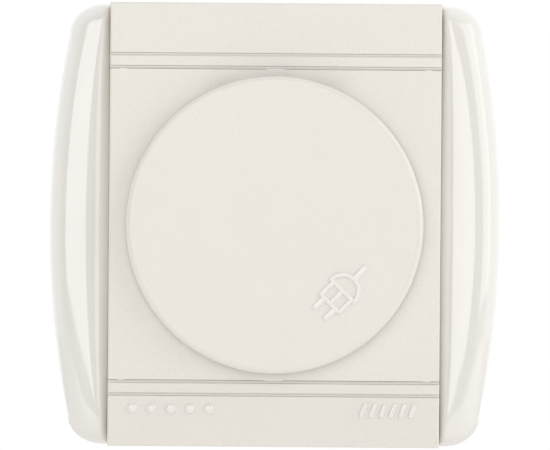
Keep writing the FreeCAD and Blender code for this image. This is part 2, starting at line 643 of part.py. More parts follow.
def make_lid():
    """The round lid: a shallow cap, thinned over the hinge, with the inner knuckles."""
    disc = rod("lid_disc", "y", LID_FACE, LID_BACK, "lid_radius", ("0", "0"))
    edge = rounded("lid_rounded", disc, "lid_edge",
                   lambda e: e.isClosed() and abs(e.CenterOfMass.y - number(LID_FACE)) < 0.01)
    hollow = rod("lid_hollow", "y", f"{LID_FACE} + lid_wall", "0", "lid_radius - lid_wall", ("0", "0"))
    thin = f"{LID_FACE} + hinge_shell"
    room_half = "(hinge_half + pass_gap)"
    hinge_room = box("lid_hinge_room", (f"-{room_half}", room_half), (thin, "0"),
                     (f"{HINGE_Z} - hinge_room", "lid_radius + 1"))
    groove_half = "(spring_half + pass_gap - lap)"
    leg_groove = box("lid_leg_groove", (f"-{groove_half}", groove_half), (thin, "0"),
                     (f"{HINGE_Z} - leg_reach - 2 * pass_gap", HINGE_Z))
    shell = cut("lid_shell", edge, hollow, hinge_room, leg_groove)
    knuckles = []
    for side, sign in (("left", -1), ("right", 1)):
        span = sorted((f"{sign} * {KNUCKLE}", f"{sign} * ({KNUCKLE} + knuckle_width)"), key=number)
        knuckles.append(rod(f"lid_knuckle_{side}", "x", *span, "knuckle_radius", HINGE))
        knuckles.append(box(f"lid_web_{side}", span, (f"{thin} - lap", HINGE_Y),
                            (f"{HINGE_Z} - knuckle_radius", f"{HINGE_Z} + knuckle_radius")))
    hole = rod("lid_hinge_hole", "x", "-hinge_half", "hinge_half", "lid_pin_radius + pin_play", HINGE)
    whole = cut("lid_bored", fuse("lid_fused", shell, *knuckles), hole)
    node(fuse("lid_marked", whole, *plug_mark()), "lid")


def make_lid_hinge():
    """The hinge pin, and the torsion spring that closes the lid."""
    reach = f"({OUTER_KNUCKLE} + knuckle_width)"
    node(rod("hinge_pin", "x", f"-{reach}", reach, "lid_pin_radius", HINGE), "lid_hinge_pin")
    coil = rod("spring_coil", "x", "-spring_half", "spring_half", f"{SPRING_BORE} + spring_wire", HINGE)
    offset = f"({SPRING_BORE} + spring_wire / 2)"
    lid_leg = rod("spring_lid_leg", "z", f"{HINGE_Z} - leg_reach", HINGE_Z, "spring_wire / 2",
                  ("spring_half - spring_wire / 2", f"{HINGE_Y} - {offset}"))
    foot = rod("spring_foot", "z", HINGE_Z, f"{HINGE_Z} + foot_reach", "spring_wire / 2",
               ("spring_wire / 2 - spring_half", f"{HINGE_Y} + {offset}"))
    foot.Placement = FreeCAD.Placement(Vector(), FreeCAD.Rotation(Vector(1, 0, 0), FOOT_TURN))
    bore = rod("spring_bore", "x", "-spring_half - 1", "spring_half + 1", SPRING_BORE, HINGE)
    node(cut("spring_whole", fuse("spring_wires", coil, lid_leg, foot), bore), "lid_spring")


def make_strap():
    """The steel strap that is screwed to the wall box, with its bent legs and claw lugs."""
    body = new_body("support_strap")
    edge, corner = "strap_half", "(strap_half - strap_corner)"
    outline = [(corner, f"-{edge}"), (edge, f"-{corner}"), (edge, corner), (corner, edge),
               (f"-{corner}", edge), (f"-{edge}", corner), (f"-{edge}", f"-{corner}"),
               (f"-{corner}", f"-{edge}")]
    pad(body, "plate", "y", "-strap_wall", "0", outline)
    for side, sign in (("top", 1), ("bottom", -1)):
        leg = sorted((f"{sign} * {LEG_INNER}", f"{sign} * ({LEG_INNER} + strap_wall)"), key=number)
        pad(body, f"leg_{side}", "y", "-strap_wall", "leg_length", rectangle("-leg_half", "leg_half", *leg))
    pivot_x, pivot_y, edge = "claw_pivot_x", "claw_pivot_y", "lug_edge"
    well_side, behind_well = f"{WELL_OUTER} + 3 * pass_gap", f"{FLOOR_BACK} + 2 * pass_gap"
    for side, sign in (("left", -1), ("right", 1)):
        lug = [(f"{sign} * ({x})", y) for x, y in (
            (well_side, "-strap_wall"), (f"claw_screw_x + {edge}", "-strap_wall"),
            (f"claw_screw_x + {edge}", "leg_length / 4"), (f"{pivot_x} + {edge}", f"{pivot_y} + {edge}"),
            (f"{pivot_x} - {edge}", f"{pivot_y} + {edge}"), (f"{pivot_x} - {edge}", behind_well),
            (well_side, behind_well))]
        for level, low, high in (("low", f"-{LUG_INNER} - strap_wall", f"-{LUG_INNER}"),
                                 ("high", LUG_INNER, f"{LUG_INNER} + strap_wall")):
            pad(body, f"lug_{side}_{level}", "z", low, high, lug)
        pocket(body, f"pivot_{side}", "z", f"-{LUG_INNER} - 2 * strap_wall", f"{LUG_INNER} + 2 * strap_wall",
               (f"{sign} * {pivot_x}", pivot_y, "claw_pin_radius + pin_play"))
    pocket(body, "middle", "y", "-strap_wall", "0", ("0", "0", f"{WELL_OUTER} + 2 * pass_gap"))
    notch = "(bow_half + 2 * pass_gap)"
    for side, sign in (("top", 1), ("bottom", -1)):
        ends = sorted((f"{sign} * well_radius", f"{sign} * ({BOW_OUTER} + pass_gap)"), key=number)
        pocket(body, f"bow_notch_{side}", "y", "-strap_wall", "0", rectangle(f"-{notch}", notch, *ends))
    holes = [(f"{sign} * box_half", "0", "box_hole") for sign in (1, -1)]
    holes += [("0", f"{sign} * box_half", "box_hole") for sign in (1, -1)]
    holes += [(f"{sign} * claw_screw_x", "0", "claw_radius + hole_play") for sign in (1, -1)]
    pocket(body, "screw_holes", "y", "-strap_wall", "0", *holes)
    leg_outer = f"({LEG_INNER} + strap_wall)"
    pocket(body, "rivet_holes", "z", f"-{leg_outer}", leg_outer, ("0", RIVET_Y, "rivet_radius + pin_play"))
    node(body, "support_strap")
    rivets = []
    for side, sign in (("top", 1), ("bottom", -1)):
        shank = sorted((f"{sign} * ({LEG_INNER} - rivet_depth)", f"{sign} * {leg_outer}"), key=number)
        head = sorted((f"{sign} * {leg_outer}", f"{sign} * ({leg_outer} + rivet_rise)"), key=number)
        rivets.append(fuse(f"rivet_{side}",
                           rod(f"rivet_shank_{side}", "z", *shank, "rivet_radius", ("0", RIVET_Y)),
                           rod(f"rivet_head_{side}", "z", *head, "rivet_head", ("0", RIVET_Y))))
    group = doc.addObject("Part::Compound", "rivet_group")
    group.Links = rivets
    node(group, "strap_rivets")


def terminals():
    """Each terminal's name, its side of the axis and whether it is above or below it."""
    return (("live", 1, -1), ("neutral", -1, -1), ("earth", 1, 1))


def make_housing():
    """The insulating housing and the cover over its chambers."""
    base = new_body("socket_base")
    block = rectangle("-base_half", "base_half", "-base_tall", "base_tall")
    pad(base, "block", "y", BASE_FRONT, "base_back", block)
    pad(base, "bosses", "y", BASE_FRONT, "leg_length + boss_depth",
        rectangle("-leg_half", "leg_half", f"-{LEG_INNER}", LEG_INNER))
    floor = "(base_back - housing_wall)"
    end = "(base_tall - housing_wall)"
    for name, side, low, high in (("live", 1, f"-{end}", "2 * leaf_half"),
                                  ("neutral", -1, f"-{end}", "2 * leaf_half"),
                                  ("earth", 1, "2 * leaf_half + housing_wall", end)):
        middle = f"{side} * pin_half"
        pocket(base, f"{name}_chamber", "y", BASE_FRONT, floor,
               rectangle(f"{middle} - chamber_half", f"{middle} + chamber_half", low, high))
    bush_back = f"{BASE_FRONT} + bush_length"
    pocket(base, "bush_pocket", "y", BASE_FRONT, bush_back, ("0", "0", "bush_radius + pin_play"))
    pocket(base, "screw_room", "y", bush_back, floor, ("0", "0", "centre_radius + hole_play"))
    wire_y = "(tab_front - wire_room / 2)"
    for name, side, level in terminals():
        ends = sorted((f"{level} * {end}", f"{level} * base_tall"), key=number)
        pocket(base, f"{name}_wire", "z", *ends, (f"{side} * pin_half", wire_y, "wire_hole"))
    for side, sign in (("top", 1), ("bottom", -1)):
        ends = sorted((f"{sign} * ({LEG_INNER} - rivet_depth - lap)", f"{sign} * {LEG_INNER}"), key=number)
        pocket(base, f"rivet_{side}_hole", "z", *ends, ("0", RIVET_Y, "rivet_radius + pin_play"))
    node(base, "socket_base")

    cover = new_body("contact_cover")
    pad(cover, "cover_plate", "y", COVER_FRONT, BASE_FRONT, block)
    holes = [("0", "0", "centre_radius + hole_play")]
    holes += [(f"{sign} * pin_half", "0", "pin_hole + pass_gap") for sign in (1, -1)]
    holes += [(f"{side} * pin_half", f"{level} * terminal_low", "terminal_head + pass_gap")
              for _, side, level in terminals()]
    pocket(cover, "cover_holes", "y", COVER_FRONT, BASE_FRONT, *holes)
    pocket(cover, "bow_slot", "y", COVER_FRONT, BASE_FRONT,
           rectangle(f"pin_half - {TAB_HALF} - pass_gap", f"pin_half + {TAB_HALF} + pass_gap",
                     f"{EARTH_TOP} - strip_metal - pass_gap", f"{EARTH_TOP} + pass_gap"))
    node(cover, "contact_cover")


def make_contact(name, sign):
    """A pin contact: two brass leaves on a web, and the threaded tab of its terminal."""
    body = new_body(f"contact_{name}")
    middle, back, width = f"({sign} * pin_half)", CONTACT_BACK, CONTACT_HALF
    riser = "(terminal_low - clamp_half - 1)"
    tab_back, tab_end = "tab_front + tab_metal", "-terminal_low - chamber_half"
    outline = [(f"{back} - strip_metal", "leaf_half"), (back, "leaf_half"),
               (back, f"-{riser} - strip_metal"), (tab_back, f"-{riser} - strip_metal"),
               (tab_back, tab_end), ("tab_front", tab_end),
               ("tab_front", f"-{riser}"), (f"{back} - strip_metal", f"-{riser}")]
    pad(body, f"{name}_web", "x", f"{middle} - {width}", f"{middle} + {width}", outline)
    for leaf, inner, outer in (("right", "leaf_gap", width), ("left", f"-{width}", "-leaf_gap")):
        pad(body, f"{name}_leaf_{leaf}", "y", f"{BASE_FRONT} + 1", f"{back} - lap",
            rectangle(f"{middle} + {inner}", f"{middle} + {outer}", "-leaf_half", "leaf_half"))
    pocket(body, f"{name}_thread", "y", "tab_front", "tab_front + tab_metal",
           (middle, "-terminal_low", "terminal_radius + screw_play"))
    node(body, f"contact_{name}")

    clip = new_body(f"contact_clip_{name}")
    inside, outside = f"({width} + pin_play)", f"({width} + pin_play + clip_metal)"
    top, foot = "(leaf_half + lap)", "1 - leaf_half"
    pad(clip, f"{name}_clip", "y", f"{BASE_FRONT} + 2", f"{BASE_FRONT} + 7", [
        (f"{middle} + {outside}", foot), (f"{middle} + {outside}", f"{top} + clip_metal"),
        (f"{middle} - {outside}", f"{top} + clip_metal"), (f"{middle} - {outside}", foot),
        (f"{middle} - {inside}", foot), (f"{middle} - {inside}", top),
        (f"{middle} + {inside}", top), (f"{middle} + {inside}", foot)])
    node(clip, f"contact_clip_{name}")


def make_earth_bow():
    """The earth bow: arms outside the well, tongues through its slots, and the earth terminal."""
    body = new_body("earth_bow")
    rear = f"({BOW_FRONT} + strip_metal)"
    tip, inner_z, length = TONGUE_FRONT, "well_radius", "tongue_length"
    arms = [
        [(y, f"{sign} * ({z})") for y, z in (
            (tip, BOW_OUTER), (f"{tip} + 0.55 * {length}", f"{inner_z} - 1.9"),
            (f"{tip} + {length}", f"{inner_z} - lap"), (f"{tip} + {length} - 0.5", f"{inner_z} + 0.6"),
            (f"{tip} + 0.55 * {length}", f"{inner_z} - 0.9"), (f"{tip} + 1", BOW_INNER))]
        for sign in (1, -1)
    ]
    top, low = arms
    outline = (
        [(rear, f"-{BOW_OUTER}"), (rear, BOW_OUTER)] + top
        + [(BOW_FRONT, BOW_INNER), (BOW_FRONT, f"-{BOW_INNER}")] + low[::-1]
    )
    pad(body, "bow", "x", "-bow_half", "bow_half", outline)
    tab_back, tab_low = "(tab_front + tab_metal)", f"terminal_low - {TAB_HALF}"
    pad(body, "side_arm", "y", BOW_FRONT, rear,
        rectangle("0", f"pin_half + {TAB_HALF}", f"{EARTH_TOP} - 2", EARTH_TOP))
    pad(body, "earth_leg", "x", f"pin_half - {TAB_HALF}", f"pin_half + {TAB_HALF}", [
        (BOW_FRONT, f"{EARTH_TOP} - strip_metal"), ("tab_front", f"{EARTH_TOP} - strip_metal"),
        ("tab_front", tab_low), (tab_back, tab_low), (tab_back, EARTH_TOP), (BOW_FRONT, EARTH_TOP)])
    pocket(body, "bow_screw_hole", "y", BOW_FRONT, rear, ("0", "0", "centre_radius + hole_play"))
    pocket(body, "earth_thread", "y", "tab_front", tab_back,
           ("pin_half", "terminal_low", "terminal_radius + screw_play"))
    node(body, "earth_bow")


def make_terminal(name, side, level):
    """A terminal's clamp plate and the screw that carries it."""
    x, z = f"({side} * pin_half)", f"({level} * terminal_low)"
    plate = box(f"clamp_block_{name}", (f"{x} - clamp_half", f"{x} + clamp_half"), (CLAMP_FRONT, CLAMP_BACK),
                (f"{z} - clamp_half", f"{z} + clamp_half"))
    hole = rod(f"clamp_hole_{name}", "y", f"{CLAMP_FRONT} - 1", f"{CLAMP_BACK} + 1",
               "terminal_radius + hole_play", (x, z))
    node(cut(f"clamp_{name}", plate, hole), f"clamp_plate_{name}")
    screw(f"terminal_screw_{name}", (x, CLAMP_FRONT, z), "terminal")


def make_claw(side, sign):
    """A spreading claw with its pivot pin, its screw and the barrel nut that pushes it."""
    def across(x):
        return f"{sign} * ({x})"

    pivot_x, pivot_y = "claw_pivot_x", "claw_pivot_y"
    end = "(claw_screw_x + claw_tip)"
    body = new_body(f"claw_{side}")
    web = sorted((across(f"{pivot_x} + 2 * claw_edge"), across(end)), key=number)
    pad(body, f"web_{side}", "y", f"{pivot_y} - web_half", f"{pivot_y} + web_half",
        rectangle(*web, "-claw_inner", "claw_inner"))
    cheek = [(across(x), f"{pivot_y} + {y}") for x, y in (
        (f"{pivot_x} - 1.5", "(0 - claw_edge)"), (end, "(0 - claw_edge)"), (end, "0.9"),
        (f"{pivot_x} + 1.9", "1.6"),
        (f"{pivot_x} + 1.9", "(claw_reach - 3.5)"), (f"{pivot_x} + 4.6", "claw_reach"),
        (f"{pivot_x} + 1.2", "(claw_reach - 0.9)"), (f"{pivot_x} - 1.5", "(claw_reach - 3)"))]
    for level, low, high in (("high", "claw_inner", "claw_inner + claw_metal"),
                             ("low", "-claw_inner - claw_metal", "-claw_inner")):
        pad(body, f"cheek_{side}_{level}", "z", low, high, cheek)
    slot_half = "(claw_radius + pass_gap)"
    slot = sorted((across(f"claw_screw_x - {slot_half}"), across(f"claw_screw_x + {slot_half} + claw_edge")),
                  key=number)
    pocket(body, f"slot_{side}", "y", f"{pivot_y} - web_half", f"{pivot_y} + web_half",
           rectangle(*slot, f"-{slot_half}", slot_half))
    pocket(body, f"claw_pivot_{side}", "z", "-claw_inner - claw_metal", "claw_inner + claw_metal",
           (across(pivot_x), pivot_y, "claw_pin_radius + screw_play"))
    node(body, f"claw_{side}")

    pin_half = f"({LUG_INNER} + strap_wall + pass_gap)"
    node(rod(f"claw_pin_{side}_rod", "z", f"-{pin_half}", pin_half, "claw_pin_radius",
             (across(pivot_x), pivot_y)), f"claw_pin_{side}")
    nut_y = f"({pivot_y} + web_half + claw_nut_radius + screw_play)"
    barrel_half = "(claw_inner - pass_gap)"
    barrel = rod(f"barrel_{side}", "z", f"-{barrel_half}", barrel_half, "claw_nut_radius",
                 (across("claw_screw_x"), nut_y))
    thread = rod(f"barrel_thread_{side}", "y", f"{nut_y} - 5", f"{nut_y} + 5", "claw_radius + screw_play",
                 (across("claw_screw_x"), "0"))
    node(cut(f"barrel_nut_{side}", barrel, thread), f"claw_nut_{side}")
    screw(f"claw_screw_{side}", (across("claw_screw_x"), "-strap_wall", "0"), "claw")


def make_centre_fixing():
    """The screw through the well's floor, and the brass bush that it goes into."""
    screw("centre_screw", ("0", FLOOR, "0"), "centre")
    bush = rod("bush_round", "y", BASE_FRONT, f"{BASE_FRONT} + bush_length", "bush_radius", ("0", "0"))
    thread = rod("bush_thread", "y", f"{BASE_FRONT} - 1", f"{BASE_FRONT} + bush_length + 1",
                 "centre_radius + screw_play", ("0", "0"))
    node(cut("bush_cut", bush, thread), "centre_bush")


make_frame()
for side_name, side_sign in (("left", -1), ("right", 1)):
    make_side_cover(side_name, side_sign)
make_centre_plate()
make_lid()
make_lid_hinge()
make_strap()
make_housing()
for pole, pole_sign in (("live", 1), ("neutral", -1)):
    make_contact(pole, pole_sign)
make_earth_bow()
for terminal, terminal_side, terminal_level in terminals():
    make_terminal(terminal, terminal_side, terminal_level)
for side_name, side_sign in (("left", -1), ("right", 1)):
    make_claw(side_name, side_sign)
make_centre_fixing()

doc.recompute()
faults = [f"{item.Label}: {item.State}" for item in doc.Objects
          if {"Invalid", "Error"} & set(item.State)]
faults += [f"{item.Label}: shape" for item in nodes if item.Shape.isNull() or not item.Shape.isValid()]
if faults:
    raise RuntimeError("; ".join(faults))

os.makedirs("parts", exist_ok=True)
for item in nodes:
    item.Shape.exportStep(f"parts/{item.Label}.step")
    print(f"{item.Label:24s} {len(item.Shape.Solids)} {item.Shape.Volume:10.1f}")
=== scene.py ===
"""Looks and stage for a recessed socket outlet with a round lid, laid out as a Blender add-on.

Metres, in the part's own frame: +X right, +Y into the wall, +Z up, origin on the socket's axis
in the plane of the wall. It is run as a script, not installed.
"""
import math

import bmesh
import bpy
import numpy as np
from mathutils import Matrix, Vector
from bpy.props import FloatProperty, FloatVectorProperty, IntProperty, PointerProperty


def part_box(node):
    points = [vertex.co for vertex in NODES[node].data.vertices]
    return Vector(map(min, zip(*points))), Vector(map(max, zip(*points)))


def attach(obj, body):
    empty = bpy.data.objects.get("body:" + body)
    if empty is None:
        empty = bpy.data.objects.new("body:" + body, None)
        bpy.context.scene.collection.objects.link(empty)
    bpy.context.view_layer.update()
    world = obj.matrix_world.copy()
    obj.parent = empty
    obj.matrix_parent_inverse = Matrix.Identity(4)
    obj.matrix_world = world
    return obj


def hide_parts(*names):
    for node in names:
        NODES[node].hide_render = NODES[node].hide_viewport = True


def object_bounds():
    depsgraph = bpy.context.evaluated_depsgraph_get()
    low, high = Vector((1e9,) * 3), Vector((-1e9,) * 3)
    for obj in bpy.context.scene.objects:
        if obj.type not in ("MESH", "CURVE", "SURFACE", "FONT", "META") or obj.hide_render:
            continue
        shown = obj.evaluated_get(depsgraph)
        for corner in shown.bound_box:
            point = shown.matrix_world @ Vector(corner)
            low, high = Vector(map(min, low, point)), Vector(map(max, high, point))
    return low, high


bl_info = {
    "name": "Recessed Socket Outlet",
    "version": (1, 0, 0),
    "blender": (4, 5, 0),
    "location": "View3D > Sidebar > Socket",
    "description": "Side covers, marks, spring, finishes and stage for a lidded socket outlet",
    "category": "Object",
}

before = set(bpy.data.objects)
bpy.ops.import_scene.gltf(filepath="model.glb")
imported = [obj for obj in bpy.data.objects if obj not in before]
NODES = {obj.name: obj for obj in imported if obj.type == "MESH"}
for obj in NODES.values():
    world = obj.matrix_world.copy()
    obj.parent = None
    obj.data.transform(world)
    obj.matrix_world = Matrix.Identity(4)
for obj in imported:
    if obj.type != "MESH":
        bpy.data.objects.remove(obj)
CAD_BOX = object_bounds()
MM = 0.001
TINY = 1e-7  # metres, too short to see

# the size of the cloudy patches in a colour
PIGMENT_CLOUD = 9 * MM
PLATING_CLOUD = 3 * MM

# how a side cover's grid is spaced, and where its back ends
ROW_CROWDING = 0.35  # share of the rows' spacing that closes up at the two ends
COLUMN_CROWDING = 1.6  # power that draws the columns together at the outline
LEAST_WIDTH = 0.02 * MM  # of the grid's first and last rows
BACK_SHARE = 0.9  # of the skirt's stand

# the wire, the beads and the plug mark
WIRE_SIDES = 12
OFF_THE_WIRE = (0.3, 0.5, 0.81)  # a direction that the spring's wire never takes
POINTS_IN_A_TURN = 36
LEG_POINTS = 12
FOOT_STARTS = 0.05  # share of the foot before its first point
BEAD_POINTS_ALONG = 41
BEAD_POINTS_ACROSS = 15
BEAD_SUNK = 0.1 * MM  # underside behind the face
ARC_POINTS = 40
LINE_OVERLAP = 0.9  # share of a line's half width that it runs on past another line
CABLE_LEAN = 0.05  # how far the cable's tip stands beside its start, in body radii

# each light's name, place, width, height and the stage's property that holds its radiance
LIGHTS = (
    ("key_light", (0.62, -0.42, 0.26), 0.80, 0.70, "key"),
    ("front_softbox", (-0.195, -0.776, 0.25), 0.64, 0.62, "softbox"),
)
FRONT_ENDS, AROUND_STARTS = -0.7, 0.0  # Y of a direction, where the surroundings change brightness
SENSOR = 36  # millimetres
CLIP_END = 20
EYE_SIDEWAYS = 0.05 * MM


# ---------------------------------------------------------------- colours and small tools

def linear(code):
    """An sRGB hex colour as linear red, green, blue and a full alpha."""
    channels = [int(code[start:start + 2], 16) / 255 for start in (0, 2, 4)]
    steps = [c / 12.92 if c <= 0.04045 else ((c + 0.055) / 1.055) ** 2.4 for c in channels]
    return (*steps, 1.0)


def colour_property(name, description, code):
    return FloatVectorProperty(name=name, description=description, subtype="COLOR", size=4,
                               min=0, max=1, default=linear(code))


def length_property(name, description, millimetres):
    return FloatProperty(name=name, description=description, unit="LENGTH", precision=5,
                         default=millimetres * MM)


def number_property(name, description, default, least=0.0):
    return FloatProperty(name=name, description=description, default=default, min=least)


def angle_property(name, description, degrees):
    return FloatProperty(name=name, description=description, subtype="ANGLE",
                         default=math.radians(degrees))


def count_property(name, description, default, least=1):
    return IntProperty(name=name, description=description, default=default, min=least)


def tinted(colour, factor):
    """The colour with its red, green and blue multiplied."""
    return (*(min(1.0, channel * factor) for channel in colour[:3]), 1.0)


def add_node(owner, kind, settings=None, links=None):
    """Add one node to a material or a world.

    Settings go to its attributes or sockets, and links are {socket: output}.
    """
    added = owner.node_tree.nodes.new(kind)
    for key, value in (settings or {}).items():
        if isinstance(key, str) and hasattr(added, key):
            setattr(added, key, value)
        else:
            added.inputs[key].default_value = value
    for key, output in (links or {}).items():
        owner.node_tree.links.new(output, added.inputs[key])
    return added


def new_material(name):
    """An empty node material with its output, and the piece's own place as coordinates."""
    material = bpy.data.materials.new(name)
    material.use_nodes = True
    material.node_tree.nodes.clear()
    place = add_node(material, "ShaderNodeTexCoord").outputs["Object"]
    return material, place


def grid_faces(rows, columns, wrap_columns=False):
    """Quads over a grid of rows by columns vertices, numbered row by row."""
    row = np.arange(rows - 1)[:, None]
    column = np.arange(columns if wrap_columns else columns - 1)[None, :]
    next_row, next_column = row + 1, (column + 1) % columns
    corners = (row * columns + column, next_row * columns + column,
               next_row * columns + next_column, row * columns + next_column)
    return np.stack(corners, axis=-1).reshape(-1, 4)


def make_piece(name, points, faces, material, body):
    """A smooth mesh object from arrays of points and faces, riding on a body."""
    mesh = bpy.data.meshes.new(name)
    mesh.from_pydata(points.tolist(), [], [tuple(face) for face in faces.tolist()])
    mesh.validate()
    mesh.polygons.foreach_set("use_smooth", [True] * len(mesh.polygons))
    piece = bpy.data.objects.new(name, mesh)
    bpy.context.collection.objects.link(piece)
    piece.data.materials.append(material)
    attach(piece, body)
    return piece


def dress(material, *names):
    """Give CAD nodes a material."""
    for name in names:
        node = NODES[name]
        node.data.materials.clear()
        node.data.materials.append(material)


# ---------------------------------------------------------------- finishes

def moulded_plastic(name, colour, roughness, grain_mm, grain_depth, coat=0.0, coat_ior=1.5,
                    mottle=0.012):
    """Moulded plastic: fine spark-eroded grain in the tool, and a faint cloudiness of the pigment."""
    material, place = new_material(name)
    cloud = add_node(material, "ShaderNodeTexNoise",
                     {"Scale": 1 / PIGMENT_CLOUD, "Detail": 3.0, "Roughness": 0.55}, {"Vector": place})
    tint = add_node(material, "ShaderNodeMix",
                    {"data_type": "RGBA", 6: tinted(colour, 1 - mottle), 7: tinted(colour, 1 + mottle)},
                    {0: cloud.outputs["Fac"]})
    grain = add_node(material, "ShaderNodeTexNoise",
                     {"Scale": 1 / (grain_mm * MM), "Detail": 2.0, "Roughness": 0.6}, {"Vector": place})
    rough = add_node(material, "ShaderNodeMapRange",
                     {"To Min": roughness * 0.88, "To Max": roughness * 1.12},
                     {"Value": grain.outputs["Fac"]})
    bump = add_node(material, "ShaderNodeBump",
                    {"Strength": 0.35, "Distance": grain_depth * MM}, {"Height": grain.outputs["Fac"]})
    shader = add_node(material, "ShaderNodeBsdfPrincipled",
                      {"IOR": 1.53, "Coat Weight": coat, "Coat Roughness": 0.04, "Coat IOR": coat_ior},
                      {"Base Color": tint.outputs[2], "Roughness": rough.outputs[0],
                       "Normal": bump.outputs[0]})
    add_node(material, "ShaderNodeOutputMaterial", links={"Surface": shader.outputs[0]})
    return material


def worked_metal(name, colour, roughness, streak, grain_mm, cloudiness=0.12):
    """Worked metal: fine drawn or rolled streaks along an axis, and cloudy plating."""
    material, place = new_material(name)
    stretched = add_node(material, "ShaderNodeMapping", {"Scale": streak}, {"Vector": place})
    lines = add_node(material, "ShaderNodeTexNoise",
                     {"Scale": 1 / (grain_mm * MM), "Detail": 4.0, "Roughness": 0.6},
                     {"Vector": stretched.outputs[0]})
    cloud = add_node(material, "ShaderNodeTexNoise",
                     {"Scale": 1 / PLATING_CLOUD, "Detail": 3.0, "Roughness": 0.6}, {"Vector": place})
    tint = add_node(material, "ShaderNodeMix",
                    {"data_type": "RGBA", 6: tinted(colour, 1 - cloudiness),
                     7: tinted(colour, 1 + cloudiness)},
                    {0: cloud.outputs["Fac"]})
    rough = add_node(material, "ShaderNodeMapRange",
                     {"To Min": roughness * 0.7, "To Max": roughness * 1.4},
                     {"Value": lines.outputs["Fac"]})
    bump = add_node(material, "ShaderNodeBump",
                    {"Strength": 0.3, "Distance": 0.02 * MM}, {"Height": lines.outputs["Fac"]})
    shader = add_node(material, "ShaderNodeBsdfPrincipled", {"Metallic": 1.0},
                      {"Base Color": tint.outputs[2], "Roughness": rough.outputs[0],
                       "Normal": bump.outputs[0]})
    add_node(material, "ShaderNodeOutputMaterial", links={"Surface": shader.outputs[0]})
    return material


def satin_ivory(colours):
    """Ivory ABS from a lightly eroded tool: a soft, even sheen."""
    return moulded_plastic("satin_ivory_abs", colours.ivory, roughness=0.28, grain_mm=0.28,
                           grain_depth=0.004, coat=0.5)


def lightened_gloss_ivory(colours):
    """Ivory ABS from a polished tool: sharp reflections over a lighter copy of the ivory, painted light
    that brightens the side covers and the marks.
    """
    return moulded_plastic("lightened_gloss_ivory_abs", colours.lightened_gloss_ivory, roughness=0.10, grain_mm=1.6,
                           grain_depth=0.0015, coat=1.0, coat_ior=1.75)


def grey_thermoset(colours):
    """Light grey urea moulding: dull, with a visible filler mottle."""
    return moulded_plastic("grey_urea", colours.housing, roughness=0.5, grain_mm=0.22,
                           grain_depth=0.01, mottle=0.05)


def white_thermoset(colours):
    """White urea moulding."""
    return moulded_plastic("white_urea", colours.insulator, roughness=0.42, grain_mm=0.25,
                           grain_depth=0.008, mottle=0.03)


def zinc_steel(colours):
    """Zinc-plated steel strip and screws: pale, slightly blue, cloudy."""
    return worked_metal("zinc_plated_steel", colours.zinc, roughness=0.3, streak=(1.0, 1.0, 0.12),
                        grain_mm=0.25)


def ground_steel(colours):
    """Ground pin steel with fine rings round the pin."""
    return worked_metal("ground_steel", colours.steel, roughness=0.22, streak=(1.0, 0.1, 0.1),
                        grain_mm=0.15, cloudiness=0.05)


def spring_steel(colours):
    """Drawn spring steel: darker, with lengthwise drawing lines."""
    return worked_metal("spring_steel", colours.spring, roughness=0.3, streak=(0.3, 1.0, 1.0),
                        grain_mm=0.12, cloudiness=0.08)


def stamped_brass(colours):
    """Stamped brass strip with rolling lines."""
    return worked_metal("stamped_brass", colours.brass, roughness=0.26, streak=(1.0, 0.12, 1.0),
                        grain_mm=0.2)


def nickel_strip(colours):
    """Nickel-plated brass strip: warm grey and fairly bright."""
    return worked_metal("nickel_plated_strip", colours.nickel, roughness=0.24,
                        streak=(1.0, 1.0, 0.12), grain_mm=0.2, cloudiness=0.06)


def painted_floor(colours):
    """Matt paint with a soft, wide orange peel."""
    return moulded_plastic("painted_floor", colours.floor, roughness=0.6, grain_mm=3, grain_depth=0.05)


# ---------------------------------------------------------------- properties

class SocketColours(bpy.types.PropertyGroup):
    ivory: colour_property("Ivory", "Strip, centre plate and lid", "ECE8E0")
    # painted light: the gloss ivory is a lighter copy of the ivory of the same plastic, to brighten the
    # side covers and the marks
    lightened_gloss_ivory: colour_property("Gloss ivory", "Side covers", "F0EDE7")
    housing: colour_property("Housing", "Insulating housing", "CFCFCB")
    insulator: colour_property("Insulator", "Cover over the contacts", "E6E5DF")
    zinc: colour_property("Zinc", "Strap, claws and screws", "B9BDC1")
    steel: colour_property("Steel", "Pins", "B4B5B8")
    spring: colour_property("Spring", "Springs and clips", "8C8E92")
    brass: colour_property("Brass", "Contacts and bush", "C8A45C")
    nickel: colour_property("Nickel", "Earth bow", "C6C0B2")
    floor: colour_property("Floor", "Floor of the studio", "F2F1EE")


class SideCoverSizes(bpy.types.PropertyGroup):
    bow: length_property("Bow", "Radius of the bowed side", 178.0)
    corner_across: length_property("Corner across", "Corner's half axis from side to side", 6.9)
    corner_up: length_property("Corner up", "Corner's half axis up and down", 5.6)
    roll: length_property("Roll", "How far in the outer edge goes on rising", 5.3)
    fullness: number_property("Fullness", "Power of the roll: 2 is a quarter circle", 3.1, least=2)
    hollow: number_property("Hollow", "Power of the fall from the crest to the strip", 2.7, least=1)
    crest: length_property("Crest", "Crest in front of the wall", 9.3)
    valley: length_property("Valley", "Surface beside the strip, in front of the wall", 7.6)
    seat: length_property("Seat", "Face carried on towards the strip, past the CAD cover", 0.06)
    skirt: length_property("Skirt", "Lower edge in front of the wall", 0.4)
    wall: length_property("Wall", "Thickness of the moulding", 1.6)
    across: count_property("Across", "Points from strip to outline", 72, least=12)
    up: count_property("Up", "Points from bottom to top", 190, least=24)


class SpringSizes(bpy.types.PropertyGroup):
    turns: number_property("Turns", "Turns of the lid's spring", 11.5, least=2)
    wire: length_property("Wire", "Wire thickness", 0.3)
    coil: length_property("Coil", "Axis to the wire's middle", 0.78)
    half: length_property("Half", "Half of the spring's width, over the wire", 2.1)
    lid_leg: length_property("Lid leg", "Leg that lies on the lid", 5.0)
    foot: length_property("Foot", "Leg that lies on the plate", 4.2)
    foot_lean: angle_property("Foot lean", "Foot's lean towards the plate", 12)


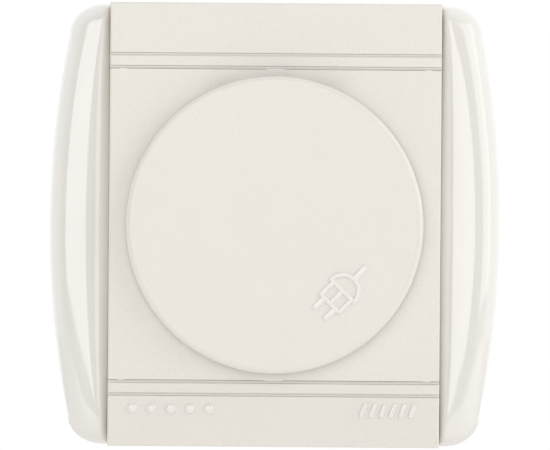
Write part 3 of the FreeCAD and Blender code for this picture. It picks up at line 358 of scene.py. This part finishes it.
class MarkSizes(bpy.types.PropertyGroup):
    lid_face: length_property("Lid face", "Lid's face in front of the wall", 14.6)
    strip_face: length_property("Strip face", "Strip's face in front of the wall", 10.5)
    plug_x: length_property("Plug x", "Plug mark's middle, right of the axis", 12.5)
    plug_z: length_property("Plug z", "Plug mark's middle, above the axis", -11.9)
    line: length_property("Line", "Half width of a thin line of the plug mark", 0.46)
    bold: length_property("Bold", "Half width of a thick line of the plug mark", 0.62)
    line_height: length_property("Line height", "Height of the plug mark's lines", 0.42)
    body: length_property("Body", "Radius of the plug's round body, to the line's middle", 2.93)
    collar: length_property("Collar", "Half width of the plug's collar, to the line's middle", 2.33)
    collar_length: length_property("Collar length", "Collar, to the middle of its front line", 3.28)
    prong: length_property("Prong", "Prongs from the plug's middle line", 1.4)
    prong_tip: length_property("Prong tip", "Tips of the prongs from the plug's middle", 6.1)
    cable_tip: length_property("Cable tip", "End of the cable from the plug's middle", 6.3)
    dot_radius: length_property("Dot radius", "Dome", 0.97)
    dot_height: length_property("Dot height", "Dome", 0.55)
    dot_first: length_property("Dot first", "First dome from the axis", -25.8)
    dot_pitch: length_property("Dot pitch", "From dome to dome", 3.5)
    dot_drop: length_property("Dot drop", "Domes below the axis", 33.67)
    bar_half: length_property("Bar half", "Half width of a slanting bar", 0.43)
    bar_height: length_property("Bar height", "Slanting bar", 0.38)
    bar_first: length_property("Bar first", "Foot of the first bar from the axis", 15.93)
    bar_pitch: length_property("Bar pitch", "From bar to bar", 1.8)
    bar_foot: length_property("Bar foot", "Feet of the bars below the axis", 35.1)
    bar_length: length_property("Bar length", "Slanting bar", 2.8)
    bar_lean: angle_property("Bar lean", "Lean of the bars", 20)
    dots: count_property("Dots", "Domes on the lower band", 5)
    bars: count_property("Bars", "Slanting bars on the lower band", 6)


class StageSizes(bpy.types.PropertyGroup):
    distance: length_property("Distance", "Camera from the cover", 1500.0)
    view_width: length_property("View width", "Width of the view at the cover's face", 100.15)
    roll: angle_property("Roll", "Camera roll", -0.45)
    floor_drop: length_property("Floor drop", "Floor below the axis", 120.0)
    floor_side: length_property("Floor side", "Side of the square floor", 1600.0)
    key: number_property("Key", "Radiance of the large light at the right", 0.95)
    softbox: number_property("Softbox", "Radiance of the light in front", 1.35)
    front: number_property("Front", "Brightness of the surroundings in front", 0.36)
    around: number_property("Around", "Brightness of the surroundings elsewhere", 1.0)


# ---------------------------------------------------------------- shapes

def cover_surface(sizes, sign):
    """Points of a side cover's face on a grid of (up, across).

    The outline is a shallow arc, bow, that turns into a quarter ellipse at each end. Across the
    cover the face falls from the crest to the valley with the hollow-th power of the way. Its
    stand is scaled by the fullness-th root of 1 - (1 - d / roll)^fullness, where d is the
    distance to the outline, so it rolls over all round the outline.
    """
    low, high = (np.array(corner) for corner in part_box(f"side_cover_{'right' if sign > 0 else 'left'}"))
    inner, outer = (low[0], high[0]) if sign > 0 else (-high[0], -low[0])
    inner -= sizes.seat
    top = high[2]
    corner_z = top - sizes.corner_up
    turn = np.linspace(-1, 1, sizes.up)
    z = top * np.sin(turn * np.pi / 2) * ROW_CROWDING + top * turn * (1 - ROW_CROWDING)
    z = z / np.abs(z).max() * top

    def bow_x(height):
        return outer - (sizes.bow - np.sqrt(sizes.bow ** 2 - height ** 2))

    shoulder = bow_x(corner_z)
    ellipse_x = shoulder - sizes.corner_across
    over = np.clip((np.abs(z) - corner_z) / sizes.corner_up, 0, 1)
    rim = np.where(np.abs(z) > corner_z,
                   ellipse_x + sizes.corner_across * np.sqrt(np.clip(1 - over ** 2, 0, 1)), bow_x(z))
    rim = np.maximum(rim, inner + LEAST_WIDTH)
    share = 1 - (1 - np.linspace(0, 1, sizes.across)) ** COLUMN_CROWDING
    x = inner + (rim - inner)[:, None] * share[None, :]
    height = np.abs(z)[:, None] + 0 * x

    side_gap = rim[:, None] - x
    within = np.clip((x - ellipse_x) / sizes.corner_across, 0, 1)
    rim_z = corner_z + sizes.corner_up * np.sqrt(1 - within ** 2)
    bow_z = np.sqrt(np.clip(sizes.bow ** 2 - (sizes.bow - (outer - x)) ** 2, 0, None))
    end_gap = np.maximum(np.where(x > shoulder, bow_z, rim_z) - height, 0)
    end_gap = np.where(height <= corner_z, np.maximum(end_gap, TINY), end_gap)
    gap = side_gap * end_gap / np.sqrt(side_gap ** 2 + end_gap ** 2 + TINY ** 2)

    crest_x = np.maximum(bow_x(z) - sizes.roll, inner + MM)[:, None]
    inward = np.clip((crest_x - x) / (crest_x - inner), 0, 1)
    stand = sizes.crest - (sizes.crest - sizes.valley) * inward ** sizes.hollow
    short = 1 - np.clip(gap / sizes.roll, 0, 1)
    roll = np.clip(1 - short ** sizes.fullness, 0, 1) ** (1 / sizes.fullness)
    y = -(sizes.skirt + (stand - sizes.skirt) * roll)
    return np.stack([sign * x, y, z[:, None] + 0 * x], axis=-1)


def thick_skin(points, wall, back):
    """A closed shell from a face grid: an inner face set back and in, joined round its border."""
    rows, columns = points.shape[:2]
    inner = points.copy()
    inner[..., 1] = np.minimum(points[..., 1] + wall, back)
    shell = np.concatenate([points.reshape(-1, 3), inner.reshape(-1, 3)])
    face = grid_faces(rows, columns)
    offset = rows * columns
    index = np.arange(offset).reshape(rows, columns)
    border = np.concatenate([index[0, :-1], index[:-1, -1], index[-1, :0:-1], index[:0:-1, 0]])
    following = np.roll(border, -1)
    wall_faces = np.stack([border, following, following + offset, border + offset], axis=-1)
    return shell, np.concatenate([face, face[:, ::-1] + offset, wall_faces[:, ::-1]])


def tube(path, radius):
    """A closed round tube: rings across the path's own direction, and a flat fan at each end."""
    ahead = np.gradient(path, axis=0)
    ahead /= np.linalg.norm(ahead, axis=1, keepdims=True)
    side = np.cross(ahead, OFF_THE_WIRE)
    side /= np.linalg.norm(side, axis=1, keepdims=True)
    up = np.cross(side, ahead)
    angle = np.linspace(0, 2 * np.pi, WIRE_SIDES, endpoint=False)[None, :, None]
    ring = side[:, None] * np.cos(angle) + up[:, None] * np.sin(angle)
    rings = path[:, None] + radius * ring
    first, last = (np.broadcast_to(path[end], rings[:1].shape) for end in (0, -1))
    rings = np.concatenate([first, rings, last])
    return rings.reshape(-1, 3), grid_faces(len(rings), WIRE_SIDES, wrap_columns=True)


def spring_path(sizes, axis):
    """The wire's middle line: a helix along X round the hinge axis, then the straight foot.

    The helix starts in front of the axis, where the lid's leg leaves it, and ends behind the axis.
    The foot leaves it there, straight down and leaning towards the plate.
    """
    half = sizes.half - sizes.wire / 2
    turn = np.linspace(0, 1, int(sizes.turns * POINTS_IN_A_TURN))
    angle = 2 * np.pi * sizes.turns * turn
    helix = np.stack([half * (1 - 2 * turn), axis[1] - sizes.coil * np.cos(angle),
                      axis[2] - sizes.coil * np.sin(angle)], axis=-1)
    down = np.linspace(FOOT_STARTS, 1, LEG_POINTS)[:, None] * sizes.foot
    foot = helix[-1] + down * (0, math.sin(sizes.foot_lean), -math.cos(sizes.foot_lean))
    return np.concatenate([helix, foot])


def bead(path, half, height, stand, power=4):
    """A raised, closed bead along a path of (x, z) points on a face that stands in front of the wall.

    Across the bead the height follows the root of 1 - |t|^power, from t = -1 to 1. Towards each end
    the width and the height shrink by the power-th root of 1 - q^power, where q runs from 0 at
    one half width before the end to 1 at the end. The underside is sunk into the face.
    """
    steps = np.linalg.norm(np.diff(path, axis=0), axis=1)
    along = np.concatenate([[0], np.cumsum(steps)])
    places = along[-1] / 2 * (1 - np.cos(np.pi * np.linspace(0, 1, BEAD_POINTS_ALONG)))
    path = np.stack([np.interp(places, along, path[:, column]) for column in (0, 1)], axis=-1)
    ahead = np.gradient(path, axis=0)
    ahead /= np.linalg.norm(ahead, axis=1, keepdims=True)
    beside = np.stack([ahead[:, 1], -ahead[:, 0]], axis=-1)
    near_end = np.clip(1 - np.minimum(places, places[-1] - places) / half, 0, 1)
    taper = (1 - near_end ** power) ** (1 / power)
    across = np.sin(np.linspace(-1, 1, BEAD_POINTS_ACROSS) * np.pi / 2)
    rise = np.sqrt(1 - np.abs(across) ** power)
    across, rise = np.append(across, (1.0, -1.0)), np.append(rise * height, (-BEAD_SUNK, -BEAD_SUNK))
    place = path[:, None] + half * beside[:, None] * (across[None, :] * taper[:, None])[..., None]
    y = -(stand + rise[None, :] * np.where(rise > 0, taper[:, None], 1))
    points = np.stack([place[..., 0], y, place[..., 1]], axis=-1)
    return points.reshape(-1, 3), grid_faces(len(path), len(across), wrap_columns=True)


def joined(parts):
    """Several (points, faces) pairs as one."""
    starts = np.cumsum([0] + [len(points) for points, _ in parts])
    return (np.concatenate([points for points, _ in parts]),
            np.concatenate([faces + start for (_, faces), start in zip(parts, starts)]))


def plug_lines(sizes):
    """The plug mark's lines as (path, half width), from (u, v) with u along the plug to its cable."""
    half_turn = np.linspace(-np.pi / 2, np.pi / 2, ARC_POINTS)
    arc = sizes.body * np.stack([np.cos(half_turn), np.sin(half_turn)], axis=-1)
    over = sizes.line * LINE_OVERLAP
    wide, side, front = sizes.body + over, sizes.collar + over, -sizes.collar_length
    strokes = [((0, -wide), (0, wide), sizes.line), ((front, -side), (front, side), sizes.line)]
    strokes += [((front - over, v), (over, v), sizes.line) for v in (-sizes.collar, 0, sizes.collar)]
    strokes += [((-sizes.prong_tip, v), (front, v), sizes.bold) for v in (-sizes.prong, sizes.prong)]
    strokes.append(((sizes.body, 0), (sizes.cable_tip, CABLE_LEAN * sizes.body), sizes.bold))
    lines = [(arc, sizes.line)] + [(np.array([start, end]), half) for start, end, half in strokes]
    slant = math.sqrt(0.5)
    middle = np.array((sizes.plug_x, sizes.plug_z))
    turned = slant * np.array([(1, 1), (-1, 1)])
    return [(middle + path @ turned, half) for path, half in lines]


def outward(piece):
    """Merge doubles and turn all faces outwards."""
    work = bmesh.new()
    work.from_mesh(piece.data)
    bmesh.ops.remove_doubles(work, verts=work.verts, dist=TINY)
    bmesh.ops.recalc_face_normals(work, faces=work.faces)
    work.to_mesh(piece.data)
    work.free()


# ---------------------------------------------------------------- stage

def make_floor(sizes, colours):
    """A plain square floor below the socket."""
    bpy.ops.mesh.primitive_plane_add(size=1, location=(0, 0, 0))
    floor = bpy.context.object
    floor.name = "studio_floor"
    floor.data.transform(Matrix.Diagonal((sizes.floor_side, sizes.floor_side, 1, 1)))
    floor.data.transform(Matrix.Translation((0, 0, -sizes.floor_drop)))
    floor.data.materials.append(painted_floor(colours))


def make_surroundings(sizes):
    """White surroundings that are dimmer in front of the socket, by the direction's Y."""
    world = bpy.data.worlds.new("studio")
    bpy.context.scene.world = world
    world.use_nodes = True
    direction = add_node(world, "ShaderNodeTexCoord").outputs["Generated"]
    parts = add_node(world, "ShaderNodeSeparateXYZ", links={0: direction})
    level = add_node(world, "ShaderNodeMapRange",
                     {"From Min": FRONT_ENDS, "From Max": AROUND_STARTS,
                      "To Min": sizes.front, "To Max": sizes.around},
                     {"Value": parts.outputs["Y"]})
    back = world.node_tree.nodes["Background"]
    world.node_tree.links.new(level.outputs[0], back.inputs["Strength"])
    back.inputs["Color"].default_value = (1, 1, 1, 1)


def make_light(name, place, wide, tall, radiance):
    """A rectangular light that faces the origin; its power is pi times its area and radiance."""
    light = bpy.data.lights.new(name, "AREA")
    light.shape = "RECTANGLE"
    light.size, light.size_y = wide, tall
    light.energy = math.pi * wide * tall * radiance
    lamp = bpy.data.objects.new(name, light)
    lamp.location = place
    aim = -np.array(place)
    lamp.rotation_euler = (math.acos(-aim[2] / np.linalg.norm(aim)), 0,
                           math.atan2(aim[1], aim[0]) - math.pi / 2)
    bpy.context.collection.objects.link(lamp)


def make_camera(sizes):
    """A long lens straight in front of the cover."""
    camera = bpy.data.cameras.new("front_camera")
    camera.sensor_width = SENSOR
    camera.lens = SENSOR * sizes.distance / sizes.view_width
    camera.clip_end = CLIP_END
    eye = bpy.data.objects.new("front_camera", camera)
    eye.location = (EYE_SIDEWAYS, CAD_BOX[0][1] - sizes.distance, 0)
    eye.rotation_euler = (math.pi / 2, sizes.roll, 0)
    bpy.context.collection.objects.link(eye)
    bpy.context.scene.camera = eye


# ---------------------------------------------------------------- operators

class SOCKET_OT_finishes(bpy.types.Operator):
    """Give every CAD node its moulded, plated or stamped finish"""
    bl_idname = "socket.finishes"
    bl_label = "Finishes"

    def execute(self, context):
        colours = context.scene.socket_colours
        dress(satin_ivory(colours), "frame", "centre_plate", "lid")
        # painted light: this lighter copy of the ivory brightens the side covers and the marks
        lightened_gloss_ivory(colours)  # the side covers and the marks find it by its name
        dress(grey_thermoset(colours), "socket_base")
        dress(white_thermoset(colours), "contact_cover")
        zinc = zinc_steel(colours)
        dress(zinc, "support_strap", "strap_rivets", "centre_screw")
        for side in ("left", "right"):
            dress(zinc, f"claw_{side}", f"claw_nut_{side}", f"claw_screw_{side}")
        for pole in ("live", "neutral", "earth"):
            dress(zinc, f"clamp_plate_{pole}", f"terminal_screw_{pole}")
        dress(ground_steel(colours), "lid_hinge_pin", "claw_pin_left", "claw_pin_right")
        dress(spring_steel(colours), "lid_spring", "contact_clip_live", "contact_clip_neutral")
        dress(stamped_brass(colours), "contact_live", "contact_neutral", "centre_bush")
        dress(nickel_strip(colours), "earth_bow")
        return {"FINISHED"}


class SOCKET_OT_side_covers(bpy.types.Operator):
    """Make the two glossy side covers"""
    bl_idname = "socket.side_covers"
    bl_label = "Side covers"

    def execute(self, context):
        sizes = context.scene.socket_side_covers
        lightened_gloss = bpy.data.materials["lightened_gloss_ivory_abs"]
        for side, sign in (("left", -1), ("right", 1)):
            face = cover_surface(sizes, sign)
            points, faces = thick_skin(face, sizes.wall, -sizes.skirt * BACK_SHARE)
            piece = make_piece(f"side_cover_{side}_skin", points, faces, lightened_gloss, "socket")
            outward(piece)
            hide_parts(f"side_cover_{side}")
        return {"FINISHED"}


class SOCKET_OT_marks(bpy.types.Operator):
    """Make the rounded raised marks: the plug on the lid, the dots and the bars on the band"""
    bl_idname = "socket.marks"
    bl_label = "Marks"

    def execute(self, context):
        sizes = context.scene.socket_marks
        lightened_gloss = bpy.data.materials["lightened_gloss_ivory_abs"]
        # the marks take the lighter gloss ivory: painted light that makes their tops brighter than the
        # lid
        plug = [bead(path, half, sizes.line_height, sizes.lid_face) for path, half in plug_lines(sizes)]
        dots = []
        for step in range(sizes.dots):
            middle = sizes.dot_first + step * sizes.dot_pitch
            ends = np.array([(middle + sign * sizes.dot_radius, -sizes.dot_drop) for sign in (-1, 1)])
            dots.append(bead(ends, sizes.dot_radius, sizes.dot_height, sizes.strip_face, power=2))
        bars = []
        for step in range(sizes.bars):
            foot = np.array((sizes.bar_first + step * sizes.bar_pitch, -sizes.bar_foot))
            tip = foot + sizes.bar_length * np.array((math.sin(sizes.bar_lean), math.cos(sizes.bar_lean)))
            bars.append(bead(np.stack([foot, tip]), sizes.bar_half, sizes.bar_height, sizes.strip_face))
        for name, parts, body in (("plug_mark", plug, "lid"), ("dot_row", dots, "socket"),
                                  ("bar_row", bars, "socket")):
            piece = make_piece(name, *joined(parts), lightened_gloss, body)
            outward(piece)
        return {"FINISHED"}


class SOCKET_OT_lid_spring(bpy.types.Operator):
    """Make the lid's torsion spring as a wound wire, with one leg on the lid"""
    bl_idname = "socket.lid_spring"
    bl_label = "Lid spring"

    def execute(self, context):
        sizes = context.scene.socket_spring
        steel = bpy.data.materials["spring_steel"]
        low, high = (np.array(corner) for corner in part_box("lid_hinge_pin"))
        axis = (low + high) / 2
        start = np.array((sizes.half - sizes.wire / 2, axis[1] - sizes.coil, axis[2]))
        leg = start + np.linspace(0, 1, LEG_POINTS)[:, None] * (0, 0, -sizes.lid_leg)
        for name, path, body in (("lid_spring_coil", spring_path(sizes, axis), "socket"),
                                 ("lid_spring_leg", leg, "lid")):
            piece = make_piece(name, *tube(path, sizes.wire / 2), steel, body)
            outward(piece)
            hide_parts("lid_spring")
        return {"FINISHED"}


class SOCKET_OT_stage(bpy.types.Operator):
    """Make the floor, the surroundings, the lights and the camera"""
    bl_idname = "socket.stage"
    bl_label = "Stage"

    def execute(self, context):
        sizes = context.scene.socket_stage
        make_floor(sizes, context.scene.socket_colours)
        make_surroundings(sizes)
        for name, place, wide, tall, radiance in LIGHTS:
            make_light(name, place, wide, tall, getattr(sizes, radiance))
        make_camera(sizes)
        context.scene.view_settings.view_transform = "Standard"
        return {"FINISHED"}


class SOCKET_PT_panel(bpy.types.Panel):
    """Lists the socket's operators"""
    bl_label = "Recessed Socket Outlet"
    bl_idname = "SOCKET_PT_panel"
    bl_space_type = "VIEW_3D"
    bl_region_type = "UI"
    bl_category = "Socket"

    def draw(self, context):
        for operator in OPERATORS:
            self.layout.operator(operator.bl_idname)


OPERATORS = (SOCKET_OT_finishes, SOCKET_OT_side_covers, SOCKET_OT_marks, SOCKET_OT_lid_spring,
             SOCKET_OT_stage)
GROUPS = {
    "socket_colours": SocketColours,
    "socket_side_covers": SideCoverSizes,
    "socket_spring": SpringSizes,
    "socket_marks": MarkSizes,
    "socket_stage": StageSizes,
}


def register():
    for group in GROUPS.values():
        bpy.utils.register_class(group)
    for operator in OPERATORS:
        bpy.utils.register_class(operator)
    bpy.utils.register_class(SOCKET_PT_panel)
    for name, group in GROUPS.items():
        setattr(bpy.types.Scene, name, PointerProperty(type=group))


def unregister():
    for name in GROUPS:
        delattr(bpy.types.Scene, name)
    bpy.utils.unregister_class(SOCKET_PT_panel)
    for item in (*OPERATORS, *GROUPS.values()):
        bpy.utils.unregister_class(item)


def main():
    """Make every piece in order."""
    register()
    bpy.ops.socket.finishes()
    bpy.ops.socket.side_covers()
    bpy.ops.socket.marks()
    bpy.ops.socket.lid_spring()
    bpy.ops.socket.stage()


if __name__ == "__main__":
    main()
